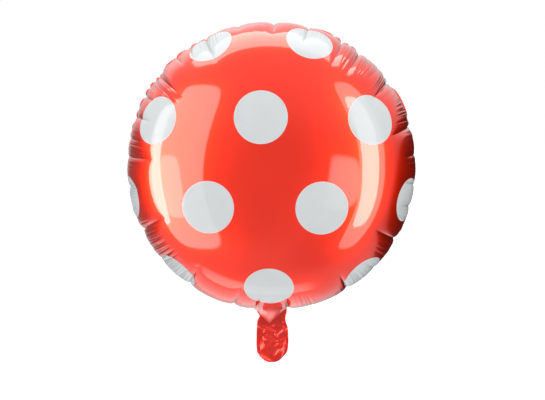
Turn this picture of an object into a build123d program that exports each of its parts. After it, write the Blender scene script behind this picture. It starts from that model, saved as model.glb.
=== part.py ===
from build123d import *

import math
import os

# A round metallised-film party balloon, inflated, with its filling tail hanging down.
# Millimetres. The origin is the middle of the neck's fold line, where a ribbon is tied:
# +Z up through the balloon, -Y out of the front panel, +X to the right seen from the front.

# Panels: two round sheets of film, sealed face to face round their rim
flat_gas_radius = 220.0  # radius of the gas space while the balloon is still flat
seam_margin = 5.0  # width of the sealed rim outside the gas space
film = 0.3  # thickness of the panel and tail films
hem_gap = 0.3  # room inside the sealed rim where it lies folded back over the rear panel

# Neck: the film's two layers between the rim and the fold, with a blown-up pocket
neck_width = 37.0
neck_length = 17.5  # from the rim down to the fold line
side_seal = 5.0  # sealed strip along each long edge of the neck and the tail
pocket_edge = 1.0  # flat film beside the blown-up pocket where it meets the rim
pocket_tip = 2.0  # height of the pocket's point over the fold line
neck_parting = 1.0  # film beside and above the neck that belongs to the neck's pieces

# Tail: the open filling end below the fold
fold_gap = 1.2  # from the fold line to the film on each side of it
tail_length = 45.0  # from the fold line to the open end
tail_corner_radius = 12.0

# Valve: two thin films sealed into a flat sleeve between the panels
valve_width = 26.0
valve_seal = 2.0  # sealed strip along each long edge of the sleeve
valve_film = 0.12
valve_gap = 0.1  # gas path between the two valve films
valve_clearance = 0.08  # from each valve film to the neck or tail film beside it
valve_reach = 75.0  # how far the sleeve runs up into the gas space
valve_inset = 5.0  # from the tail's open end to the sleeve's mouth

# Print: round dots on a slanted lattice, placed while the panels are flat. Lattice steps
# and places are (right, up) as seen from outside the panel, from the panel's centre.
dot_diameter = 59.0
dot_row_step = (126.0, -0.55)
dot_column_step = (58.8, 99.2)
front_first_dot = (-69.5, -41.5)
rear_first_dot = (15.1, -2.6)
ink = 0.1  # thickness of the printed ink
print_edge = 5.0  # unprinted film beside the sealed rim
least_dot_width = 8.0  # a dot that the rim cuts to less than this is left out

# Sizes that follow
RIM_ARC = math.gamma(0.25) ** 2 / (4 * math.sqrt(2 * math.pi))  # flat over inflated radius
rim_radius = flat_gas_radius / RIM_ARC
centre_z = neck_length + rim_radius
valve_near = valve_gap / 2
valve_far = valve_near + valve_film
sleeve_near = valve_far + valve_clearance
sleeve_far = sleeve_near + film
rear_rim_radius = rim_radius - 2 * film - hem_gap
rim_rise = neck_width**2 / (8 * rim_radius)  # the round rim's rise over half the neck
neck_top = neck_length + 2 * rim_rise
printed_radius = flat_gas_radius - print_edge
front_centre = Location((0, 0, centre_z))
OUTLINE_STEPS = 14
DOT_STEPS = 20


def simpson(value, upper, steps=60):
    """Integral of value from 0 to upper, by Simpson's rule."""
    width = upper / steps
    total = value(0) + value(upper)
    for step in range(1, steps):
        total += value(step * width) * (4 if step % 2 else 2)
    return total * width / 3


def arc_from_rim(turn):
    """Film length from the rim, for a rim radius of 1, where the radius is cos(turn)."""
    return simpson(lambda p: 1 / math.sqrt(1 + math.cos(p) ** 2), turn)


def bulge(turn):
    """Height over the seam plane, for a rim radius of 1, where the radius is cos(turn)."""
    return simpson(lambda p: math.cos(p) ** 2 / math.sqrt(1 + math.cos(p) ** 2), turn)


def turn_at(flat_radius):
    """The turn whose point lay flat_radius from the centre before inflation."""
    wanted = RIM_ARC - flat_radius * RIM_ARC / flat_gas_radius
    low, high = 0.0, math.pi / 2
    for _ in range(40):
        middle = (low + high) / 2
        if arc_from_rim(middle) < wanted:
            low = middle
        else:
            high = middle
    return (low + high) / 2


def profile_point(radius, turn, offset):
    """Point (radius, depth) of an inflated panel's section, moved out by offset."""
    across = math.cos(turn)
    lean = math.sqrt(1 - across**4)
    return (radius * across + offset * across**2, -(radius * bulge(turn) + offset * lean))


def dome(radius, offset):
    """The solid between the seam plane and an inflated panel's surface, bulging to -Y."""
    turns = [math.pi / 2 * step / OUTLINE_STEPS for step in range(OUTLINE_STEPS + 1)]
    points = [profile_point(radius, turn, offset) for turn in turns]
    skin = Spline(*points, tangents=[(0, -1), (-1, 0)])
    foot = Line((0, 0), points[0])
    axis = Line(points[-1], (0, 0))
    section = make_face(foot + skin + axis)
    return front_centre * revolve(section, Axis.Y)


def ring(inner, outer, low_y, high_y):
    """A short tube about the balloon's centre line."""
    section = Pos((inner + outer) / 2, (low_y + high_y) / 2) * Rectangle(
        outer - inner, high_y - low_y
    )
    return front_centre * revolve(section, Axis.Y)


def block(width, low_y, high_y, low_z, high_z):
    """A box centred on X."""
    place = Pos(0, (low_y + high_y) / 2, (low_z + high_z) / 2)
    return place * Box(width, high_y - low_y, high_z - low_z)


def sleeve_side(width, near, far, seal, low_z, high_z):
    """Front side of a flat sleeve: a sheet from y = -far to -near, whose two long edges
    reach y = 0, where the rear side is sealed to them."""
    sheet = block(width, -far, 0, low_z, high_z)
    return sheet - block(width - 2 * seal, -near, 0, low_z, high_z)


def to_rear(shape):
    """The shape's twin on the rear side."""
    return mirror(shape, about=Plane.XZ)


# The pocket: a round cone whose point is near the fold, cut in half by the seam plane
pocket_slope = (neck_width / 2 - pocket_edge) / (neck_top - pocket_tip)
pocket_height = neck_top + neck_width / 2  # runs on into the gas space


def half_pocket(wall):
    """Front half of the pocket, shrunk inwards by wall."""
    tip = pocket_tip + wall * math.sqrt(1 + pocket_slope**2) / pocket_slope
    height = pocket_height - tip
    top_radius = pocket_slope * height
    cone = Cone(0, top_radius, height, align=(Align.CENTER, Align.CENTER, Align.MIN))
    half = block(3 * top_radius, -2 * top_radius, 0, 0, 2 * pocket_height)
    return (Pos(0, 0, tip) * cone) & half


neck_side = sleeve_side(
    neck_width, sleeve_near, sleeve_far, side_seal, fold_gap, neck_top
)
valve_room = block(
    neck_width - 2 * side_seal, -sleeve_near, sleeve_near, 0, pocket_height
)
neck_region = block(
    neck_width + 2 * neck_parting,
    -rim_radius,
    rim_radius,
    0,
    neck_top + neck_parting,
)

# Front panel: its sealed rim runs straight on past the seam plane and lies outermost
front_rim = ring(rim_radius - film, rim_radius, 0, seam_margin) - neck_region
front_film = dome(rim_radius, 0) + half_pocket(0) + neck_side
front_film = front_film - dome(rim_radius, -film) - half_pocket(film) - valve_room
front_panel = front_film - neck_region + front_rim
neck_front_film = front_film & neck_region

# Rear panel: its rim turns back on itself, between the rear panel and the front's rim
rear_web = ring(rear_rim_radius - film, rim_radius - film, 0, film)
rear_rim = rear_web + ring(rim_radius - 2 * film, rim_radius - film, 0, seam_margin)
rear_rim = rear_rim - neck_region
rear_film = dome(rear_rim_radius, 0) + half_pocket(0) + neck_side
rear_film = rear_film - dome(rear_rim_radius, -film) - half_pocket(film)
rear_film = to_rear(rear_film) - valve_room
rear_panel = rear_film - neck_region + rear_rim
neck_rear_film = rear_film & neck_region

# Tail: the same two films below the fold, with round corners at the open end
tail_blank = Rectangle(neck_width, 2 * (tail_length - fold_gap))
tail_blank = fillet(tail_blank.vertices(), tail_corner_radius)
tail_blank = Plane.XZ * Pos(0, -fold_gap) * tail_blank
tail_blank = extrude(tail_blank, sleeve_far, both=True)
tail_side = sleeve_side(
    neck_width, sleeve_near, sleeve_far, side_seal, -tail_length, -fold_gap
)
tail_front_film = tail_side & tail_blank
tail_rear_film = to_rear(tail_front_film)

# Valve: one sleeve, in two lengths that meet at the fold
valve_inner_front = sleeve_side(
    valve_width, valve_near, valve_far, valve_seal, fold_gap, neck_length + valve_reach
)
valve_mouth_front = sleeve_side(
    valve_width,
    valve_near,
    valve_far,
    valve_seal,
    valve_inset - tail_length,
    -fold_gap,
)
valve_inner_rear = to_rear(valve_inner_front)
valve_mouth_rear = to_rear(valve_mouth_front)


def lattice(first):
    """Places of the dots that lie on a panel, from the lattice through first."""
    radius = dot_diameter / 2
    reach = range(-5, 6)
    for column in reach:
        for row in reach:
            right = first[0] + column * dot_row_step[0] + row * dot_column_step[0]
            up = first[1] + column * dot_row_step[1] + row * dot_column_step[1]
            if math.hypot(right, up) - radius < printed_radius - least_dot_width:
                yield right, up


def inflated_place(right, up):
    """Where a flat place lies on the inflated panel, seen from outside it. Past the
    printed part it runs straight on outwards."""
    flat = math.hypot(right, up)
    past = max(0.0, flat - printed_radius)
    reach = rim_radius * math.cos(turn_at(min(flat, printed_radius))) + past
    return (right / flat * reach, up / flat * reach)


def dot_cutter(right, up):
    """A bar through the front panel with the outline of one dot."""
    outline = []
    for step in range(DOT_STEPS):
        turn = 2 * math.pi * step / DOT_STEPS
        edge = (math.cos(turn) * dot_diameter / 2, math.sin(turn) * dot_diameter / 2)
        outline.append(inflated_place(right + edge[0], up + edge[1]))
    face = make_face(Spline(*outline, periodic=True))
    return front_centre * extrude(Plane.XZ * face, rim_radius)


def dots(first, radius):
    """The front panel's printed dots: thin skins on the outside of its dome, which stop
    short of the rim and where the pocket leaves the dome."""
    edge_y = radius * bulge(turn_at(printed_radius))
    skin = dome(radius, ink) - dome(radius, 0) - half_pocket(-ink)
    skin = skin - block(3 * radius, -edge_y, edge_y, 0, 3 * radius)
    printed = []
    for right, up in lattice(first):
        printed += (skin & dot_cutter(right, up)).solids()
    return Compound(children=printed)


def turn_to_rear(shape):
    """The shape turned half way round the balloon's upright centre line."""
    return Rot(0, 0, 180) * shape


front_dot_print = dots(front_first_dot, rim_radius)
rear_dot_print = turn_to_rear(dots(rear_first_dot, rear_rim_radius))

parts = {
    "front_panel": front_panel,
    "rear_panel": rear_panel,
    "front_dot_print": front_dot_print,
    "rear_dot_print": rear_dot_print,
    "neck_front_film": neck_front_film,
    "neck_rear_film": neck_rear_film,
    "valve_inner_front": valve_inner_front,
    "valve_inner_rear": valve_inner_rear,
    "valve_mouth_front": valve_mouth_front,
    "valve_mouth_rear": valve_mouth_rear,
    "tail_front_film": tail_front_film,
    "tail_rear_film": tail_rear_film,
}

os.makedirs("parts", exist_ok=True)
for name, shape in parts.items():
    export_step(shape, f"parts/{name}.step")
    print(name, len(shape.solids()), round(shape.volume))
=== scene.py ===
import math

import bpy
import numpy as np
from mathutils import Matrix, Vector


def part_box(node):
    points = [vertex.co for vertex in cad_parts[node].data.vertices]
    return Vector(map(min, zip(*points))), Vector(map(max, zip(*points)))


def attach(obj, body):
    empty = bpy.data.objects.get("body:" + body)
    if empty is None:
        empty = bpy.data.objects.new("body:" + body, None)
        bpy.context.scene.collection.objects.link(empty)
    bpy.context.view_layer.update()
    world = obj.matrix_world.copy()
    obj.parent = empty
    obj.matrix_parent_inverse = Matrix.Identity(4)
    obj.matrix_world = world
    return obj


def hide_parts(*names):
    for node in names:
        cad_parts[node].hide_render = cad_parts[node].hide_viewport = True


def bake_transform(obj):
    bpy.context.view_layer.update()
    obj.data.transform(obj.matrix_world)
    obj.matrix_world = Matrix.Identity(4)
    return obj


# A round metallised-film party balloon, blown up, with its crumpled filling tail.
# Metres. +Z up, -Y out of the front panel, origin at the fold between balloon and tail.
# Flat places on a panel are (right, up) from its centre as seen from outside it, before
# it was blown up. Inward is the film's length from the rim's seam towards the pole.

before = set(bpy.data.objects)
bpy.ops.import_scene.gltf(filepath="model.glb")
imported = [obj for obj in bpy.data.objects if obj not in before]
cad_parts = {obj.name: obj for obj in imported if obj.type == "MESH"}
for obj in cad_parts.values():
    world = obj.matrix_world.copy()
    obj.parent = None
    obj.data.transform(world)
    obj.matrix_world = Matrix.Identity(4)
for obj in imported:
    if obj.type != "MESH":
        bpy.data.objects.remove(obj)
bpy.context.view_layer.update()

MM = 0.001
FRONT, REAR = -1, 1  # which way along Y a panel bulges

# Sizes from the frame
panel_low, panel_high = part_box("front_panel")
RIM = (panel_high.x - panel_low.x) / 2
CENTRE_Z = panel_high.z - RIM
NECK_LENGTH = CENTRE_Z - RIM
tail_low, tail_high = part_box("tail_front_film")
TAIL_LENGTH = -tail_low.z
TAIL_WIDTH = tail_high.x - tail_low.x
valve_low, valve_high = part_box("valve_inner_front")
VALVE_WIDTH = valve_high.x - valve_low.x
VALVE_TOP = valve_high.z
VALVE_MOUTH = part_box("valve_mouth_front")[0].z

# Film sizes
MARGIN = 5.0 * MM  # sealed edge outside the seam
MARGIN_PLY = 0.15 * MM  # from the front film's margin to the rear film's
INK_LIFT = 0.12 * MM  # printed ink over the film
DOT_RADIUS = 29.5 * MM
DOT_ROW_STEP = (126.0, -0.55)
DOT_COLUMN_STEP = (58.8, 99.2)
FRONT_FIRST_DOT = (-69.5, -41.5)
REAR_FIRST_DOT = (15.1, -2.6)

# The blown-up film's section for a rim of radius 1, as tables over its turn
TURNS = np.linspace(0, math.pi / 2, 4001)
TURN_STEP = TURNS[1] - TURNS[0]


def running_integral(values):
    """Sum of the trapezoids under values, from the first turn to each turn."""
    return np.concatenate([[0.0], np.cumsum((values[1:] + values[:-1]) / 2)]) * TURN_STEP


ARCS = running_integral(1 / np.sqrt(1 + np.cos(TURNS) ** 2)) * RIM
BULGES = running_integral(np.cos(TURNS) ** 2 / np.sqrt(1 + np.cos(TURNS) ** 2)) * RIM
GAS_RADIUS = ARCS[-1]  # radius of the gas space while flat


# ---------------------------------------------------------------- creases round the rim

# Deep creases: bearing in degrees from +X (anticlockwise from the front), depth, reach (mm)
MAIN_CREASES = [
    (5, 1.5, 60), (16.5, 3.0, 80), (36, 4.5, 85), (52, 3.5, 90), (60.5, 3.5, 88),
    (75, 2.5, 75), (89, 3.0, 60), (103, 1.5, 45), (117, 3.0, 88), (124, 2.0, 60),
    (131, 2.0, 60), (141, 3.0, 98), (151, 2.0, 60), (160, 2.5, 70), (168.5, 1.0, 60),
    (176, 2.0, 90), (187.5, 2.0, 60), (206, 3.0, 90), (219.5, 1.5, 70), (235, 3.0, 85),
    (254.5, 2.5, 85), (264.5, 3.5, 70), (276.5, 3.5, 70), (302, 2.5, 85), (316, 1.0, 60),
    (330, 3.0, 85), (344.5, 2.0, 60), (353, 1.5, 65),
]
# Bundles of fine tucks: middle and half width in degrees, strength, lean (rad per metre)
TUCK_BUNDLES = [
    (52, 13, 0.75, -0.3), (38, 6, 0.7, -0.8), (142.5, 3.8, 1.0, 0.35), (173, 6, 0.6, 0.2),
    (188, 5, 0.4, -0.2), (220, 16, 0.8, 0.3), (259, 5, 0.45, 0.3), (284, 6, 0.5, -0.2),
    (306, 5, 0.5, 0.2), (326, 6, 0.5, -0.3), (20, 6, 0.35, 0.2), (90, 8, 0.25, 0.0),
    (116, 4, 0.45, 0.6), (5, 6, 0.3, 0.0), (342, 6, 0.3, 0.0), (76, 4, 0.3, -0.2),
]
CALM_DEPTH = (0.10, 0.32)  # least and most depth of the tucks between the bundles, mm
DEEP_TUCK = 1.5  # depth of the deepest tuck of a bundle of strength 1, mm
TUCK_SPACING = (0.7, 1.3)  # least and most, in degrees
LAST_TUCK = 359.2  # from this bearing on there is no room for another
TUCK_REACH = (48, 55)  # reach of a calm tuck, and what a bundle of strength 1 adds, mm
TUCK_WIDTH = (0.7, 1.1)  # mm
CREASE_WIDTH = 6.0  # of a deep crease, mm
CREASE_TUCK_WIDTH = 1.0  # of the tuck in a deep crease, mm


def make_creases():
    """Deep creases and fine tucks as two arrays of rows (bearing rad, depth, reach front,
    reach rear, lean front, lean rear, width), in metres. Each deep crease has a tuck in
    it; the others are at uneven spacing, and their depth follows the bundles."""
    rng = np.random.default_rng(11)
    deep, fine = [], []
    for degrees, depth, reach in MAIN_CREASES:
        rear_reach = reach * rng.uniform(0.75, 1.2)
        leans = rng.uniform(-0.4, 0.4, 2)
        place = math.radians(degrees)
        reaches = np.array([reach, rear_reach]) * MM
        deep.append((place, depth * MM, *reaches, *leans, CREASE_WIDTH * MM))
        tuck = 0.4 * depth + 0.4
        fine.append((place, tuck * MM, *(0.95 * reaches), *leans, CREASE_TUCK_WIDTH * MM))
    place = 0.0
    while place < LAST_TUCK:
        place += rng.uniform(*TUCK_SPACING)
        strength, lean = 0.0, 0.0
        for middle, half, power, bundle_lean in TUCK_BUNDLES:
            away = ((place - middle + 180) % 360 - 180) / half
            share = math.exp(-(away**2))
            if power * share > strength:
                strength, lean = power * share, bundle_lean * share
        depth = (rng.uniform(*CALM_DEPTH) + DEEP_TUCK * strength * rng.uniform(0.3, 1.0)) * MM
        reaches = (TUCK_REACH[0] + TUCK_REACH[1] * strength * rng.uniform(0.6, 1.0, 2)) * MM
        leans = lean + rng.uniform(-0.2, 0.2, 2)
        width = rng.uniform(*TUCK_WIDTH) * MM
        fine.append((math.radians(place), depth, *reaches, *leans, width))
    return np.array(deep), np.array(fine)


DEEP_CREASES, FINE_TUCKS = make_creases()
CREASE_ROUNDING = 0.5 * MM  # how blunt the bottom of a deep crease is
TUCK_ROUNDING = 0.25 * MM
FULL_SHADE_DEPTH = 1.0 * MM  # depth at which a tuck's painted shade is as dark as it gets
REGAIN_REACH = 80 * MM  # how far in the mean depth of the creases is given back
# What they take off the rim's mean radius, given back so that the size stays
MEAN_DEPTH = float(
    np.sum(DEEP_CREASES[:, 1] * DEEP_CREASES[:, 6]) / (math.pi * RIM)
    + np.sum(FINE_TUCKS[:, 1] * FINE_TUCKS[:, 6]) / (math.pi * RIM)
)


def crease_offset(bearing, inward, side):
    """How far the creases move the film along its normal. With d the rounded distance
    across to the crease's line, each is -depth * fade * exp(-d / width). Fade is a
    squared cosine that holds well inwards and ends at the crease's reach. Also the
    shade painted into the film's colour along the fine tucks, from 0 to 1: most on a
    tuck's line, and more the deeper the tuck."""
    column = 0 if side == FRONT else 1
    along = np.maximum(inward, 0)
    radius = RIM * np.cos(np.interp(along, ARCS, TURNS))
    offset = np.zeros(np.broadcast(bearing, inward).shape)
    crease_shade = np.zeros(offset.shape)
    deep = [(row, CREASE_ROUNDING, False) for row in DEEP_CREASES]
    fine = [(row, TUCK_ROUNDING, True) for row in FINE_TUCKS]
    for row, rounding, darkens in deep + fine:
        place, depth, reach, lean, width = row[[0, 1, 2 + column, 4 + column, 6]]
        part = np.clip(along / reach, 0, 1)
        fade = np.cos(part**2.2 * math.pi / 2) ** 2
        turn = bearing - place - lean * along
        turn = (turn + math.pi) % (2 * math.pi) - math.pi
        across = np.hypot(turn * radius, rounding) / (width * (1 + 0.4 * part))
        offset -= depth * fade * np.exp(-across)
        # only the fine tucks carry painted shade in the film's colour
        if darkens:
            full = min(depth / FULL_SHADE_DEPTH, 1)
            crease_shade = np.maximum(crease_shade, full * fade * np.exp(-((across / 0.9) ** 2)))
    back = np.clip(along / REGAIN_REACH, 0, 1)
    return offset + MEAN_DEPTH * np.cos(back * math.pi / 2) ** 2, crease_shade


# Long soft waves of the film: flat direction in degrees, wavelength and height in mm, phase
SLACK_WAVES = [
    (20, 95, 0.10, 0.4), (75, 80, 0.08, 2.1), (130, 110, 0.10, 4.0), (165, 70, 0.06, 5.2),
]
SLACK_START = 30 * MM  # where they are at their full height, inward of the seam


def slack_offset(bearing, inward, side):
    """Very shallow waves over the whole panel, none at the seam."""
    flat = GAS_RADIUS - np.maximum(inward, 0)
    right = flat * np.cos(bearing)
    up = flat * np.sin(bearing)
    offset = 0
    for degrees, length, height, phase in SLACK_WAVES:
        way = math.radians(degrees + 40 * side)
        distance = right * math.cos(way) + up * math.sin(way)
        offset = offset + height * MM * np.sin(2 * math.pi * distance / (length * MM) + phase)
    return offset * np.clip(inward / SLACK_START, 0, 1) ** 2


# Waves of the seam: how many go round the rim, height in mm, phase
SEAM_WAVES = [(9, 0.7, 1.0), (17, 0.5, 2.5), (31, 0.3, 0.0)]
SEAM_HOLD = 25 * MM  # how far into the panel they fade out


def seam_wander(bearing):
    """How far the seam lies forwards or back of the middle plane."""
    return MM * sum(size * np.sin(count * bearing + phase) for count, size, phase in SEAM_WAVES)


# Where the margin stands out further from the rim: middle and half width (deg), amount
MARGIN_FLARES = [(140, 26, 1.0), (30, 14, 0.9), (62, 10, 0.7), (200, 20, 0.4), (330, 18, 0.35)]
STEADY_FLARE = 0.12  # what it stands out everywhere
MARGIN_ARCHES = 31  # arches of the ruffled margin on half the rim
MARGIN_FOLD = 86  # how far a calm margin is folded back, degrees
MARGIN_STAND = 34  # how much less it is at the top of a full arch, degrees


def margin_lean(bearing, out):
    """Angle of the sealed margin from straight outwards (0) to folded back (90 degrees):
    less where it flares. There it stands in arches, each the half wave of a sine whose
    phase wanders, so that they are unequal."""
    degrees = np.degrees(bearing) % 360
    flare = STEADY_FLARE
    for middle, half, amount in MARGIN_FLARES:
        away = ((degrees - middle + 180) % 360 - 180) / half
        flare = flare + amount * np.exp(-(away**2))
    phase = MARGIN_ARCHES * bearing + 2.0 * np.sin(7 * bearing) + 1.0 * np.sin(17 * bearing + 1)
    arch = np.abs(np.sin(phase)) ** 0.8
    stand = MARGIN_STAND * np.minimum(flare, 1) * arch * (0.4 + 0.6 * out / MARGIN)
    return np.radians(MARGIN_FOLD - stand)


# The neck's blown-up pocket: a round cone, its point down, leaning to one side
POUCH_HALF_WIDTH = 17.5 * MM  # where it leaves the balloon
POUCH_TIP = (-2.0 * MM, 0.6 * MM)  # x and z of its point
POUCH_TOP_X = 1.6 * MM  # x of its middle line where it leaves the balloon
POUCH_LENGTHENING = 1.05  # how much deeper than wide the cone's section is
POUCH_BLEND = 1.0 * MM  # rounding between the balloon and the cone
POUCH_SPREAD = 2.5  # half widths from its middle line to where it pulls no more


def pouch_drop(x, depth, z, offset):
    """How far the neck's pocket pulls the film down: the step from the film to the cone,
    smoothed as blend * log(1 + exp(step / blend)), faded out away from the neck."""
    slope = (NECK_LENGTH - POUCH_TIP[1]) / POUCH_HALF_WIDTH
    share = np.clip(depth / POUCH_HALF_WIDTH, 0, 1)
    middle = POUCH_TIP[0] + (POUCH_TOP_X - POUCH_TIP[0]) * share
    spread = np.hypot(x - middle, depth / POUCH_LENGTHENING)
    cone = POUCH_TIP[1] + slope * spread - 0.3 * offset
    drop = POUCH_BLEND * np.logaddexp(0, (z - cone) / POUCH_BLEND)
    near = np.clip(POUCH_SPREAD - spread / POUCH_HALF_WIDTH, 0, 1)
    return drop * near**2 * (3 - 2 * near)


def film_points(bearing, inward, side, lift=0.0):
    """Points of a panel, and the painted shade of their tucks: the section's radius and
    bulge, moved along the film's normal by creases, slack and lift, turned about the
    balloon's middle. Past the seam the margin runs on at its lean. Below the middle the
    neck's pocket pulls it."""
    bearing, inward = np.broadcast_arrays(bearing, inward)
    along = np.maximum(inward, 0)
    out = np.maximum(-inward, 0)
    turn = np.interp(along, ARCS, TURNS)
    across = np.cos(turn)
    bulge = np.interp(along, ARCS, BULGES)
    offset, crease_shade = crease_offset(bearing, inward, side)
    offset = offset + slack_offset(bearing, inward, side) + lift
    radius = RIM * across + offset * across**2
    depth = bulge + offset * np.sqrt(np.maximum(1 - across**4, 0))
    lean = margin_lean(bearing, out)
    ply = MARGIN_PLY * (side == REAR) * np.minimum(out / MM, 1)
    radius = radius + out * np.cos(lean) - ply
    y = side * depth + out * np.sin(lean)
    y = y + seam_wander(bearing) * np.clip(1 - along / SEAM_HOLD, 0, 1) ** 2
    x = radius * np.cos(bearing)
    z = CENTRE_Z + radius * np.sin(bearing)
    pulled = (np.sin(bearing) < 0) & (out == 0)
    z = np.where(pulled, z - pouch_drop(x, depth, z, offset), z)
    return np.stack([x, y, z], axis=-1), crease_shade


# ------------------------------------------------------------------------ mesh helpers


def new_piece(name, points, faces, material, crease_shade=None):
    """A smooth mesh object from arrays of points and faces, with its attribute of painted shade in
    the tucks.
    """
    mesh = bpy.data.meshes.new(name)
    mesh.from_pydata(points.reshape(-1, 3).tolist(), [], faces.tolist())
    if crease_shade is not None:
        layer = mesh.attributes.new("crease_shade", "FLOAT", "POINT")
        layer.data.foreach_set("value", crease_shade.astype(np.float32).ravel())
    mesh.validate()
    mesh.shade_smooth()
    mesh.materials.append(material)
    piece = bpy.data.objects.new(name, mesh)
    bpy.context.scene.collection.objects.link(piece)
    return piece


def rings_to_faces(counts):
    """Triangles between rings of points, outermost first. A ring has as many points as
    the one outside it, or half as many; the last ring is one point. Front winding."""
    faces = []
    start = 0
    for outer, inner in zip(counts[:-1], counts[1:]):
        first = start + outer
        if inner == 1:
            j = np.arange(outer)
            faces.append(np.stack([start + j, start + (j + 1) % outer, first + 0 * j], 1))
        elif inner == outer:
            j = np.arange(outer)
            k = (j + 1) % outer
            faces.append(np.stack([start + j, start + k, first + k], 1))
            faces.append(np.stack([start + j, first + k, first + j], 1))
        else:
            j = np.arange(inner)
            k = (j + 1) % inner
            a, b, c = start + 2 * j, start + 2 * j + 1, start + (2 * j + 2) % outer
            faces.append(np.stack([first + j, a, b], 1))
            faces.append(np.stack([first + j, b, first + k], 1))
            faces.append(np.stack([first + k, b, c], 1))
        start = first
    return np.concatenate(faces)


def cut_out(points, triangles, outside):
    """The part of a triangle mesh where outside is negative, as points and triangles.
    A triangle that the border crosses is cut along it, at the zero of outside on its two
    crossed edges; neighbours share the new points, and unused points are dropped."""
    inside = outside < 0
    count = inside[triangles].sum(axis=1)

    def odd_first(rows, odd):
        shift = (np.argmax(odd, axis=1)[:, None] + np.arange(3)) % 3
        return np.take_along_axis(rows, shift, 1)

    one, two = triangles[count == 1], triangles[count == 2]
    one = odd_first(one, inside[one])
    two = odd_first(two, ~inside[two])
    crossed = np.concatenate([one[:, [0, 1]], one[:, [0, 2]], two[:, [0, 1]], two[:, [0, 2]]])
    ends, index = np.unique(np.sort(crossed, axis=1), axis=0, return_inverse=True)
    low, high = outside[ends[:, 0]], outside[ends[:, 1]]
    share = (low / (low - high))[:, None]
    border = points[ends[:, 0]] * (1 - share) + points[ends[:, 1]] * share
    index = index.ravel() + len(points)
    a, b, c, d = np.split(index, np.cumsum([len(one), len(one), len(two)]))
    kept = np.concatenate(
        [
            triangles[count == 3],
            np.stack([one[:, 0], a, b], 1),
            np.stack([c, two[:, 1], two[:, 2]], 1),
            np.stack([c, two[:, 2], d], 1),
        ]
    )
    used, kept = np.unique(kept, return_inverse=True)
    return np.concatenate([points, border])[used], kept.reshape(-1, 3)


def grid_faces(rows, columns):
    """Quads of a grid of rows x columns points."""
    i, j = np.meshgrid(np.arange(rows - 1), np.arange(columns - 1), indexing="ij")
    a = (i * columns + j).ravel()
    return np.stack([a, a + 1, a + columns + 1, a + columns], 1)


def turned_over(faces):
    """The same faces seen from the other side."""
    return faces[:, ::-1]


def smooth_line(value, places, heights):
    """A smooth curve through (places, heights), places rising: between two of them a
    cubic whose slopes are those of the chords beside it."""
    places, heights = np.array(places, float), np.array(heights, float)
    slopes = np.gradient(heights, places)
    i = np.clip(np.searchsorted(places, value) - 1, 0, len(places) - 2)
    width = places[i + 1] - places[i]
    t = np.clip((value - places[i]) / width, 0, 1)
    return (
        heights[i] * (1 + 2 * t) * (1 - t) ** 2
        + heights[i + 1] * t**2 * (3 - 2 * t)
        + width * (slopes[i] * t * (1 - t) ** 2 - slopes[i + 1] * t**2 * (1 - t))
    )


# --------------------------------------------------------------------------- materials


def material(name):
    """A new material and its Principled shader."""
    made = bpy.data.materials.new(name)
    made.use_nodes = True
    return made, made.node_tree.nodes["Principled BSDF"]


def noise(made, scale, detail, roughness=0.5):
    """A noise texture on Object coordinates."""
    nodes, links = made.node_tree.nodes, made.node_tree.links
    place = nodes.new("ShaderNodeTexCoord")
    texture = nodes.new("ShaderNodeTexNoise")
    texture.inputs["Scale"].default_value = scale
    texture.inputs["Detail"].default_value = detail
    texture.inputs["Roughness"].default_value = roughness
    links.new(place.outputs["Object"], texture.inputs["Vector"])
    return texture


def ranged(made, source, low, high, socket, start=0.3, end=0.7):
    """Feeds a socket with the source, mapped to run from low to high."""
    nodes, links = made.node_tree.nodes, made.node_tree.links
    node = nodes.new("ShaderNodeMapRange")
    node.inputs["From Min"].default_value = start
    node.inputs["From Max"].default_value = end
    node.inputs["To Min"].default_value = low
    node.inputs["To Max"].default_value = high
    links.new(source, node.inputs["Value"])
    links.new(node.outputs["Result"], socket)


def tinted(made, source, low, high, socket):
    """Feeds a colour socket with a ramp between two colours."""
    nodes, links = made.node_tree.nodes, made.node_tree.links
    ramp = nodes.new("ShaderNodeValToRGB")
    ramp.color_ramp.elements[0].position = 0.3
    ramp.color_ramp.elements[1].position = 0.7
    ramp.color_ramp.elements[0].color = (*low, 1)
    ramp.color_ramp.elements[1].color = (*high, 1)
    links.new(source, ramp.inputs["Fac"])
    links.new(ramp.outputs["Color"], socket)


def bumped(made, shader, source, distance, strength=1.0):
    """A bump from the source's height."""
    nodes, links = made.node_tree.nodes, made.node_tree.links
    bump = nodes.new("ShaderNodeBump")
    bump.inputs["Strength"].default_value = strength
    bump.inputs["Distance"].default_value = distance
    links.new(source, bump.inputs["Height"])
    links.new(bump.outputs["Normal"], shader.inputs["Normal"])


def mixed_towards(made, colour_socket, colour):
    """Puts a mix between a colour socket and what feeds it, towards another colour, and
    returns the socket of its share."""
    nodes, links = made.node_tree.nodes, made.node_tree.links
    source = colour_socket.links[0].from_socket
    mix = nodes.new("ShaderNodeMix")
    mix.data_type = "RGBA"
    share, first, second = mix.inputs[0], mix.inputs[6], mix.inputs[7]
    links.new(source, first)
    second.default_value = (*colour, 1)
    links.new(mix.outputs[2], colour_socket)
    return share


def paint_crease_shade(made, colour_socket, dark):
    """Paints shade into a colour in the tucks, mixing it towards a dark colour, for the light that
    meets the film twice there.
    """
    nodes, links = made.node_tree.nodes, made.node_tree.links
    crease_shade = nodes.new("ShaderNodeAttribute")
    crease_shade.attribute_name = "crease_shade"
    links.new(crease_shade.outputs["Fac"], mixed_towards(made, colour_socket, dark))


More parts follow.
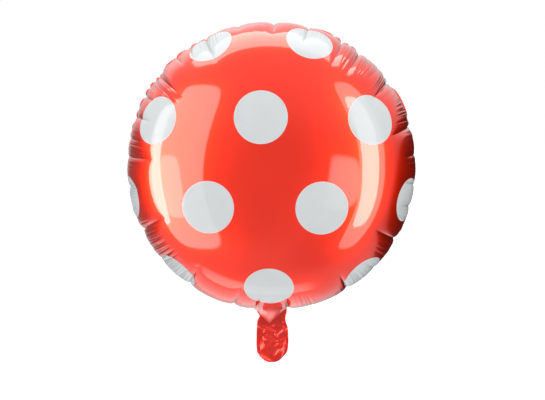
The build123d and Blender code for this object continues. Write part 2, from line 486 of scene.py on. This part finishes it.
def paint_highlight_below(made, colour_socket, pale, top, bottom):
    """Paints a highlight: turns a colour pale below a height, fading in from top to bottom."""
    nodes, links = made.node_tree.nodes, made.node_tree.links
    place = nodes.new("ShaderNodeTexCoord")
    parts = nodes.new("ShaderNodeSeparateXYZ")
    links.new(place.outputs["Object"], parts.inputs[0])
    share = mixed_towards(made, colour_socket, pale)
    ranged(made, parts.outputs["Z"], 1, 0, share, bottom, top)


PAINTED_HIGHLIGHT_TOP = 31 * MM  # heights between which a painted highlight turns the film pale: the neck's pocket and the lowest rim of both panels
PAINTED_HIGHLIGHT_BOTTOM = 19 * MM


def red_foil(name, low, high, pocket=None):
    """Red lacquered metallised film: a red metal under a clear sharp coat, between two
    colours, with painted shade in the tucks. Where it is given, pocket is a pale colour
    painted below a height as a highlight, over the neck's pocket and the panels' lowest rim."""
    made, shader = material(name)
    colour = shader.inputs["Base Color"]
    shader.inputs["Metallic"].default_value = 0.8
    shader.inputs["Specular IOR Level"].default_value = 0.0
    shader.inputs["Coat Weight"].default_value = 1.0
    shader.inputs["Coat Roughness"].default_value = 0.03
    shader.inputs["Coat IOR"].default_value = 1.5
    clouds = noise(made, 9, 1)
    tinted(made, clouds.outputs["Fac"], low, high, colour)
    # painted shade: the foil turns dark red along the tucks
    paint_crease_shade(made, colour, (0.34, 0.004, 0.001))
    # painted highlight: the film turns pale below a height
    if pocket:
        paint_highlight_below(made, colour, pocket, PAINTED_HIGHLIGHT_TOP, PAINTED_HIGHLIGHT_BOTTOM)
    ranged(made, clouds.outputs["Fac"], 0.29, 0.32, shader.inputs["Roughness"])
    grain = noise(made, 700, 2)
    bumped(made, shader, grain.outputs["Fac"], 0.00001, 0.3)
    return made


def white_ink():
    """White printing ink under the same clear lacquer."""
    made, shader = material("white_dot_ink")
    colour = shader.inputs["Base Color"]
    shader.inputs["Coat Weight"].default_value = 0.75
    shader.inputs["Coat Roughness"].default_value = 0.03
    shader.inputs["Coat IOR"].default_value = 1.26
    shader.inputs["Specular IOR Level"].default_value = 0.05
    clouds = noise(made, 60, 4)
    tinted(made, clouds.outputs["Fac"], (0.85, 0.89, 0.90), (0.88, 0.92, 0.93), colour)
    # painted shade: the ink turns grey along the tucks
    paint_crease_shade(made, colour, (0.45, 0.47, 0.47))
    ranged(made, clouds.outputs["Fac"], 0.38, 0.5, shader.inputs["Roughness"])
    grain = noise(made, 1500, 2)
    bumped(made, shader, grain.outputs["Fac"], 0.00002, 0.5)
    return made


def valve_film():
    """Clear polythene, slightly milky."""
    made, shader = material("clear_valve_film")
    colour = shader.inputs["Base Color"]
    shader.inputs["IOR"].default_value = 1.5
    shader.inputs["Transmission Weight"].default_value = 0.85
    clouds = noise(made, 120, 3)
    tinted(made, clouds.outputs["Fac"], (0.85, 0.87, 0.88), (0.93, 0.94, 0.95), colour)
    ranged(made, clouds.outputs["Fac"], 0.18, 0.34, shader.inputs["Roughness"])
    return made


# The panels' foil; its pocket colour is a painted highlight below a height.
FOIL = red_foil(
    "red_metallised_film", (0.90, 0.022, 0.003), (0.94, 0.026, 0.005), pocket=(0.93, 0.27, 0.25)
)
# The tail's film is the same foil: a darker copy as painted shade, with blotches that vary at
# random.
SHADED_TAIL_FOIL = red_foil("red_tail_film_painted_shade", (0.42, 0.007, 0.002), (0.74, 0.014, 0.003))
INK = white_ink()
CLEAR = valve_film()


# ------------------------------------------------------------------------------ panels


RIM_POINTS = 2048
# Distance left to the pole, mm, under which a ring has fewer points
RING_THINNING = ((124, 1024), (104, 512), (62, 256), (30, 128), (14, 64))
PRINT_REACH = 8 * MM  # a dot that reaches less than this inside the seam is left out
REAR_PRINT_EDGE = 0.5 * MM  # the rear print ends this far inside the seam


def panel_rings():
    """Inward distances of the panel's rings of points and how many points each has:
    close together round the rim, where the creases are, and wider near the pole."""
    inward = np.concatenate(
        [
            np.linspace(-MARGIN, 0, 5)[:-1],
            np.arange(0, 10, 1.6) * MM,
            np.arange(10, 96, 3.1) * MM,
            np.arange(96, 212, 4.6) * MM,
        ]
    )
    left = GAS_RADIUS - inward
    counts = np.full(len(inward), RIM_POINTS)
    for limit, count in RING_THINNING:
        counts[left < limit * MM] = count
    return np.append(inward, GAS_RADIUS), np.append(counts, 1)


RING_INWARD, RING_COUNTS = panel_rings()
GRID_INWARD = np.repeat(RING_INWARD, RING_COUNTS)
GRID_BEARING = np.concatenate([np.arange(n) * 2 * math.pi / n for n in RING_COUNTS])
GRID_TRIANGLES = rings_to_faces(RING_COUNTS.tolist())


def panel_triangles(points, side):
    """The grid's triangles, less the sealed margin across the neck."""
    on_margin = GRID_INWARD < -0.01 * MM
    in_neck = (np.abs(points[:, 0]) < TAIL_WIDTH / 2) & (points[:, 2] < CENTRE_Z)
    left_out = np.any((on_margin & in_neck)[GRID_TRIANGLES], axis=1)
    triangles = GRID_TRIANGLES[~left_out]
    return triangles if side == FRONT else turned_over(triangles)


def make_panel(name, side):
    """One panel with its sealed margin."""
    points, crease_shade = film_points(GRID_BEARING, GRID_INWARD, side)
    return new_piece(name, points, panel_triangles(points, side), FOIL, crease_shade)


# -------------------------------------------------------------------------------- dots


def lattice(first):
    """Flat places of the dots that reach the printed part of a panel."""
    for column in range(-4, 5):
        for row in range(-4, 5):
            right = first[0] + column * DOT_ROW_STEP[0] + row * DOT_COLUMN_STEP[0]
            up = first[1] + column * DOT_ROW_STEP[1] + row * DOT_COLUMN_STEP[1]
            if math.hypot(right, up) * MM < GAS_RADIUS + DOT_RADIUS - PRINT_REACH:
                yield right * MM, up * MM


def make_dots(name, first, side):
    """The printed dots of a panel: the panel's own surface a hair further out, cut to
    round outlines in flat places. On the rear they end at the seam."""
    points, crease_shade = film_points(GRID_BEARING, GRID_INWARD, side, INK_LIFT)
    flat = GAS_RADIUS - GRID_INWARD
    right = -side * flat * np.cos(GRID_BEARING)
    up = flat * np.sin(GRID_BEARING)
    outside = np.full(len(flat), 1.0)
    for dot_right, dot_up in lattice(first):
        away = np.hypot(right - dot_right, up - dot_up) - DOT_RADIUS
        outside = np.minimum(outside, away)
    if side == REAR:
        outside = np.maximum(outside, REAR_PRINT_EDGE - GRID_INWARD)
    rows = np.column_stack([points, crease_shade])
    rows, triangles = cut_out(rows, panel_triangles(points, side), outside)
    return new_piece(name, rows[:, :3], triangles, INK, rows[:, 3])


# -------------------------------------------------------------------------------- tail

# Edges of the crumpled tail, (height, x) in mm from the top down
TAIL_LEFT = [
    (24, -17.5), (14.8, -17.0), (9.3, -14.1), (4.9, -16.2), (-4, -17.3), (-14.3, -17.6),
    (-28, -17.5), (-33.5, -16.9), (-48, -16.0),
]
TAIL_RIGHT = [
    (24, 18.3), (13, 18.1), (7.6, 16.9), (2.1, 17.4), (-4, 19.5), (-13, 20.2),
    (-21.3, 20.3), (-30.1, 19.5), (-35.6, 18.1), (-48, 17.0),
]
TAIL_TOP = 24.0  # it starts behind the panels' lower rim
TAIL_BOTTOM = -45.6
TAIL_CORNER = 12.0  # how far its lower end rises at the edges
TAIL_CORNER_POWER = 2.6
TAIL_GAP = 0.1  # from the middle plane to each film along the sealed edges
TAIL_STAND_OFF = 0.55  # what the valve between them adds in the middle
VALVE_GAP = 0.05  # from the middle plane to each valve film at its edges
VALVE_STAND_OFF = 0.15
SMALL_FOLDS = 46
FOLD_ROUNDING = 0.2  # how blunt the top of a fold is
# Height over which the tail is flat, and the height that its folds take to grow below it:
# beside the neck's pocket and behind it
FLAT_BESIDE = (12, 10)
FLAT_BEHIND = (1, 4)
POCKET_EDGE_FADE = 4  # width over which the one turns into the other
# Folds of the tail listed one by one: two ends (x, z), height towards the front, width, mm
TAIL_FOLDS = [
    (-17, -1, -4, -10, 1.3, 1.7), (-13, 0, 4, -9, 0.9, 1.2), (-9, -2, 7, -10.5, 0.9, 1.0),
    (20, -4, 9, -12, 1.6, 1.8), (-1, -4, 8, 0, 1.2, 0.9), (9, 8, 15, -5, -1.1, 1.5),
    (-6.7, -19.4, 8.7, -21, 1.0, 1.5), (8.7, -20.8, 15, -17, 1.0, 1.4),
    (-10, -15, -6, -19.5, 0.9, 1.0), (12, -29, 4, -38, 1.2, 1.8), (-12, -18, -13.5, -33, -0.8, 1.5),
    (-8.5, -20, -10, -31, 0.7, 1.2), (16, -14, 15, -36, -0.8, 1.6), (-7, -12, 3, -17, -0.9, 2.2),
    (3, -10, 9, -17, -1.0, 1.8), (-5, -24, 6, -27, 0.6, 2.0), (-6, -33, 4, -30, -0.6, 2.0),
]
# The roll of the lower left edge: two ends (x, z), height towards the front, width, mm
TAIL_ROLL = (-19, -32.5, 3, -47, 2.0, 1.5)


def tail_folds():
    """The listed folds, and small seeded ones between them."""
    rng = np.random.default_rng(5)
    folds = [*TAIL_FOLDS, TAIL_ROLL]
    for _ in range(SMALL_FOLDS):
        x, z = rng.uniform(-18, 20), rng.uniform(-43, 12)
        way = rng.uniform(0, 2 * math.pi)
        length = rng.uniform(6, 18)
        height = rng.choice([-1, 1]) * rng.uniform(0.2, 0.6)
        end = (x + length * math.cos(way), z + length * math.sin(way))
        folds.append((x, z, *end, height, rng.uniform(1.4, 3.4)))
    return folds


FOLDS = tail_folds()


def crumple(x, z):
    """How far the tail's film stands towards the front (mm): for each fold
    height * exp(-d / width), with d the rounded distance to the fold's line, faded out
    by a squared sine past the fold's ends. None behind the pocket and at the top."""
    total = 0
    for x0, z0, x1, z1, height, width in FOLDS:
        length = math.hypot(x1 - x0, z1 - z0)
        ux, uz = (x1 - x0) / length, (z1 - z0) / length
        along = ((x - x0) * ux + (z - z0) * uz) / length
        across = np.hypot((x - x0) * uz - (z - z0) * ux, FOLD_ROUNDING)
        fade = np.sin(np.clip((along + 0.25) / 1.5, 0, 1) * math.pi) ** 2
        total = total + height * fade * np.exp(-across / width)
    beside = np.clip((FLAT_BESIDE[0] - z) / FLAT_BESIDE[1], 0, 1)
    behind = np.clip((FLAT_BEHIND[0] - z) / FLAT_BEHIND[1], 0, 1)
    in_pocket = np.clip((POUCH_HALF_WIDTH / MM - np.abs(x)) / POCKET_EDGE_FADE, 0, 1)
    return total * (beside * (1 - in_pocket) + behind * in_pocket)


def tail_grid(half_share, top, bottom, rows, columns, corner):
    """Places (x, z) in mm of a strip of the tail: half_share of its half width each side
    of its middle line, with a rounded lower end."""
    across = np.linspace(-1, 1, columns)[None, :]
    down = np.linspace(0, 1, rows)[:, None]
    end = bottom + corner * np.abs(across) ** TAIL_CORNER_POWER
    z = top + down * (end - top)
    left_z, left_x = zip(*TAIL_LEFT[::-1])
    right_z, right_x = zip(*TAIL_RIGHT[::-1])
    left = smooth_line(z, left_z, left_x)
    right = smooth_line(z, right_z, right_x)
    x = (left + right) / 2 + across * half_share * (right - left) / 2
    return x, z, np.broadcast_to(across, z.shape)


def make_tail_film(name, side):
    """Front or rear film of the neck and tail: flat sealed strips along its edges, the
    middle standing off for the valve, and the crumple that both films share."""
    rows, columns = 190, 121
    x, z, across = tail_grid(1.0, TAIL_TOP, TAIL_BOTTOM, rows, columns, TAIL_CORNER)
    stand_off = TAIL_GAP + TAIL_STAND_OFF * np.clip((1 - np.abs(across)) / 0.3, 0, 1) ** 0.5
    y = side * stand_off - crumple(x, z)
    points = np.stack([x, y, z], -1) * MM
    faces = grid_faces(rows, columns)
    if side == FRONT:
        faces = turned_over(faces)
    return new_piece(name, points, faces, SHADED_TAIL_FOIL)


def make_valve_film(name, side):
    """Front or rear film of the valve: between the tail's films, and straight on up into
    the balloon from there."""
    rows, rows_above, columns = 150, 59, 61
    share = VALVE_WIDTH / TAIL_WIDTH
    x, z, across = tail_grid(share, TAIL_TOP, VALVE_MOUTH / MM, rows, columns, 0.0)
    y = side * (VALVE_GAP + VALVE_STAND_OFF * (1 - np.abs(across))) - crumple(x, z)
    below = np.stack([x, y, z], -1)
    above = np.repeat(below[:1], rows_above, axis=0)
    above[:, :, 2] = np.linspace(VALVE_TOP / MM, TAIL_TOP, rows_above + 1)[:-1, None]
    points = np.concatenate([above, below])
    faces = grid_faces(rows_above + rows, columns)
    if side == FRONT:
        faces = turned_over(faces)
    return new_piece(name, points * MM, faces, CLEAR)


# ------------------------------------------------------------------------ put together

for place, side, first in (("front", FRONT, FRONT_FIRST_DOT), ("rear", REAR, REAR_FIRST_DOT)):
    panel = make_panel(f"{place}_panel_foil", side)
    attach(panel, "balloon")
    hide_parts(f"{place}_panel")

    dots = make_dots(f"{place}_dots", first, side)
    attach(dots, "balloon")
    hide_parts(f"{place}_dot_print")

    tail = make_tail_film(f"{place}_tail_foil", side)
    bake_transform(tail)
    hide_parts(f"neck_{place}_film", f"tail_{place}_film")

    valve = make_valve_film(f"{place}_valve_sleeve", side)
    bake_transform(valve)
    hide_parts(f"valve_inner_{place}", f"valve_mouth_{place}")


# ------------------------------------------------------------------------------- stage

FLOOR_DROP = 0.35  # from the tail's end down to the floor
FLOOR_HALF = 40  # half the floor's side
WORLD_GLOW = 1.4
# Share of the glow at a direction's rise (the sine of its elevation)
WORLD_HEIGHTS = [(-1, 0.60), (-0.7, 0.60), (-0.4, 0.44), (0, 0.38), (0.45, 0.66), (0.9, 0.8)]
# Darker ovals of the glow: azimuth and elevation, how much flatter than round, angles from
# its middle where it starts to fade and where it ends (degrees), share of the glow kept
WORLD_PATCHES = [
    (-122, -12, 1.6, 24, 36, 0.3), (132, -14, 1.8, 34, 44, 0.02), (40, -40, 1.0, 10, 28, 0.7),
]
LAMP_DISTANCE = 3.0  # from the balloon's middle to each soft box
# Soft boxes: name, azimuths and elevations that they fill (degrees), radiance, edge
SOFTBOXES = [
    ("left_box", (-85, -25), (-45, 45), 4.6, 0.08),
    ("left_core", (-72, -46), (-27, 5), 4.0, 0.08),
    ("left_strip", (-88, -70), (-30, 33), 9.0, 0.04),
    ("right_box", (43, 75), (-45, 47), 3.4, 0.08),
    ("right_strip", (46, 66), (-32, 36), 9.0, 0.04),
    ("right_core", (18, 45), (-20, 5), 4.0, 0.3),
]
OVERHEAD = (0, 0, 1)  # the way a lamp's back faces
UNDERNEATH = (0, 0, -1)
# Flat lamps: name, place from the balloon's middle, back, width, height, radiance, edge
FLAT_LAMPS = [
    ("top_box", (-0.12, 0.55, 2.6), OVERHEAD, 3.9, 1.7, 4.6, 0.08),
    ("back_glow", (-2.6, 3.4, 2.6), OVERHEAD, 6.0, 3.4, 0.4, 0.6),
    ("floor_glow", (-1.2, 1.8, -2.6), UNDERNEATH, 4.6, 2.8, 0.45, 0.9),
    ("floor_core", (-0.5, 0.3, -2.6), UNDERNEATH, 3.0, 1.6, 2.4, 1.0),
]
CAMERA_PLACE = (0.0631, -8.2151, 0.2754)  # from the balloon's middle, in rim radii
CAMERA_LENS = 77.75  # mm, on a sensor 36 mm wide
CAMERA_TURN = (-1.606, -0.058)  # turned from the middle, degrees down and to the right


def toward(azimuth, elevation):
    """Unit direction, azimuth in degrees to the right of the balloon's front."""
    a, e = math.radians(azimuth), math.radians(elevation)
    return np.array([math.sin(a) * math.cos(e), -math.cos(a) * math.cos(e), math.sin(e)])


def softbox(name, azimuths, elevations, radiance, edge):
    """A rectangular lamp that fills the given range of directions as seen from the
    balloon's middle."""
    azimuth, elevation = sum(azimuths) / 2, sum(elevations) / 2
    width = 2 * LAMP_DISTANCE * math.tan(math.radians(azimuths[1] - azimuths[0]) / 2)
    height = 2 * LAMP_DISTANCE * math.tan(math.radians(elevations[1] - elevations[0]) / 2)
    way = toward(azimuth, elevation)
    lamp_at(name, way * LAMP_DISTANCE, way, width, height, radiance, edge)


def lamp_at(name, place, back, width, height, radiance, edge):
    """A rectangular lamp at a place from the balloon's middle, its back to the given
    direction. It lights gloss only. Its corners are round: dark past 1 of x**4 + y**4,
    and bright within 1 - edge."""
    lamp = bpy.data.lights.new(name, "AREA")
    lamp.shape = "RECTANGLE"
    lamp.size, lamp.size_y = width, height
    lamp.energy = radiance * math.pi * width * height
    lamp.use_nodes = True
    nodes, links = lamp.node_tree.nodes, lamp.node_tree.links
    spot = nodes.new("ShaderNodeNewGeometry")
    centre = nodes.new("ShaderNodeVectorMath")
    centre.operation = "MULTIPLY_ADD"
    centre.inputs[1].default_value = (2, 2, 0)
    centre.inputs[2].default_value = (-1, -1, 0)
    links.new(spot.outputs["Parametric"], centre.inputs[0])
    square = nodes.new("ShaderNodeVectorMath")
    square.operation = "MULTIPLY"
    links.new(centre.outputs[0], square.inputs[0])
    links.new(centre.outputs[0], square.inputs[1])
    fourth = nodes.new("ShaderNodeVectorMath")
    fourth.operation = "DOT_PRODUCT"
    links.new(square.outputs[0], fourth.inputs[0])
    links.new(square.outputs[0], fourth.inputs[1])
    falloff = nodes.new("ShaderNodeMapRange")
    falloff.interpolation_type = "SMOOTHSTEP"
    falloff.inputs["From Min"].default_value = 1.0
    falloff.inputs["From Max"].default_value = (1 - edge) ** 4
    links.new(fourth.outputs["Value"], falloff.inputs["Value"])
    links.new(falloff.outputs["Result"], nodes["Emission"].inputs["Strength"])
    holder = bpy.data.objects.new(name, lamp)
    bpy.context.scene.collection.objects.link(holder)
    holder.location = np.array(place) + np.array([0, 0, CENTRE_Z])
    holder.rotation_euler = Vector(back).to_track_quat("Z", "Y").to_euler()
    holder.visible_camera = False
    holder.visible_diffuse = False


def make_floor():
    """A pale floor that only the camera sees."""
    mesh = bpy.data.meshes.new("pale_floor")
    z = -TAIL_LENGTH - FLOOR_DROP
    corners = [(x * FLOOR_HALF, y * FLOOR_HALF, z) for x, y in ((-1, -1), (1, -1), (1, 1), (-1, 1))]
    mesh.from_pydata(corners, [], [(0, 1, 2, 3)])
    floor = bpy.data.objects.new("pale_floor", mesh)
    bpy.context.scene.collection.objects.link(floor)
    made, shader = material("pale_floor_paint")
    shader.inputs["Base Color"].default_value = (0.9, 0.9, 0.9, 1)
    shader.inputs["Roughness"].default_value = 0.9
    shader.inputs["Emission Color"].default_value = (1, 1, 1, 1)
    shader.inputs["Emission Strength"].default_value = 0.35
    mesh.materials.append(made)
    floor.visible_diffuse = False
    floor.visible_glossy = False
    floor.visible_shadow = False


def make_world():
    """White to the camera. To the balloon a glow, brightest above and dimmest level with
    it, with darker ovals where the studio is open."""
    world = bpy.data.worlds.new("studio")
    bpy.context.scene.world = world
    world.use_nodes = True
    nodes, links = world.node_tree.nodes, world.node_tree.links
    place = nodes.new("ShaderNodeTexCoord")

    def math_node(operation, first, second):
        node = nodes.new("ShaderNodeMath")
        node.operation = operation
        for socket, value in zip(node.inputs, (first, second)):
            if isinstance(value, (int, float)):
                socket.default_value = value
            else:
                links.new(value, socket)
        return node.outputs[0]

    def patch(azimuth, elevation, flatten, inner, outer, keep):
        """Factor of the glow: keep inside an oval about a direction, 1 outside it."""
        squeeze = nodes.new("ShaderNodeVectorMath")
        squeeze.operation = "MULTIPLY"
        squeeze.inputs[1].default_value = (1, 1, flatten)
        links.new(place.outputs["Generated"], squeeze.inputs[0])
        unit = nodes.new("ShaderNodeVectorMath")
        unit.operation = "NORMALIZE"
        links.new(squeeze.outputs[0], unit.inputs[0])
        dot = nodes.new("ShaderNodeVectorMath")
        dot.operation = "DOT_PRODUCT"
        dot.inputs[1].default_value = toward(azimuth, elevation)
        links.new(unit.outputs[0], dot.inputs[0])
        ramp = nodes.new("ShaderNodeMapRange")
        ramp.interpolation_type = "SMOOTHSTEP"
        ramp.inputs["From Min"].default_value = math.cos(math.radians(outer))
        ramp.inputs["From Max"].default_value = math.cos(math.radians(inner))
        ramp.inputs["To Min"].default_value = 1.0
        ramp.inputs["To Max"].default_value = keep
        links.new(dot.outputs["Value"], ramp.inputs["Value"])
        return ramp.outputs["Result"]

    split = nodes.new("ShaderNodeSeparateXYZ")
    links.new(place.outputs["Generated"], split.inputs[0])
    share = math_node("ADD", math_node("MULTIPLY", split.outputs["Z"], 0.5), 0.5)
    height = nodes.new("ShaderNodeValToRGB")
    height.color_ramp.interpolation = "EASE"
    while len(height.color_ramp.elements) < len(WORLD_HEIGHTS):
        height.color_ramp.elements.new(0.5)
    for stop, (rise, glow) in zip(height.color_ramp.elements, WORLD_HEIGHTS):
        stop.position = (rise + 1) / 2
        stop.color = (glow, glow, glow, 1)
    links.new(share, height.inputs["Fac"])
    glow = math_node("MULTIPLY", height.outputs["Color"], WORLD_GLOW)
    for oval in WORLD_PATCHES:
        glow = math_node("MULTIPLY", glow, patch(*oval))
    seen = nodes.new("ShaderNodeLightPath")
    mix = nodes.new("ShaderNodeMix")
    mix.inputs["B"].default_value = 1.0
    links.new(seen.outputs["Is Camera Ray"], mix.inputs["Factor"])
    links.new(glow, mix.inputs["A"])
    links.new(mix.outputs[0], nodes["Background"].inputs["Strength"])
    nodes["Background"].inputs["Color"].default_value = (1, 1, 1, 1)


def make_camera():
    """A long lens a little above the balloon's middle and slightly to its right."""
    aim = np.array([0.0, 0.0, CENTRE_Z])
    place = aim + RIM * np.array(CAMERA_PLACE)
    data = bpy.data.cameras.new("camera")
    data.lens = CAMERA_LENS
    data.sensor_width = 36.0
    data.clip_end = 200
    camera = bpy.data.objects.new("camera", data)
    bpy.context.scene.collection.objects.link(camera)
    look = Vector(aim - place).to_track_quat("-Z", "Y").to_matrix()
    down = Matrix.Rotation(math.radians(CAMERA_TURN[0]), 3, "X")
    right = Matrix.Rotation(math.radians(CAMERA_TURN[1]), 3, "Y")
    camera.matrix_world = Matrix.Translation(place) @ (look @ down @ right).to_4x4()
    bpy.context.scene.camera = camera


make_floor()
make_world()
for box in SOFTBOXES:
    softbox(*box)
for flat_lamp in FLAT_LAMPS:
    lamp_at(*flat_lamp)
make_camera()
bpy.context.scene.view_settings.view_transform = "Standard"
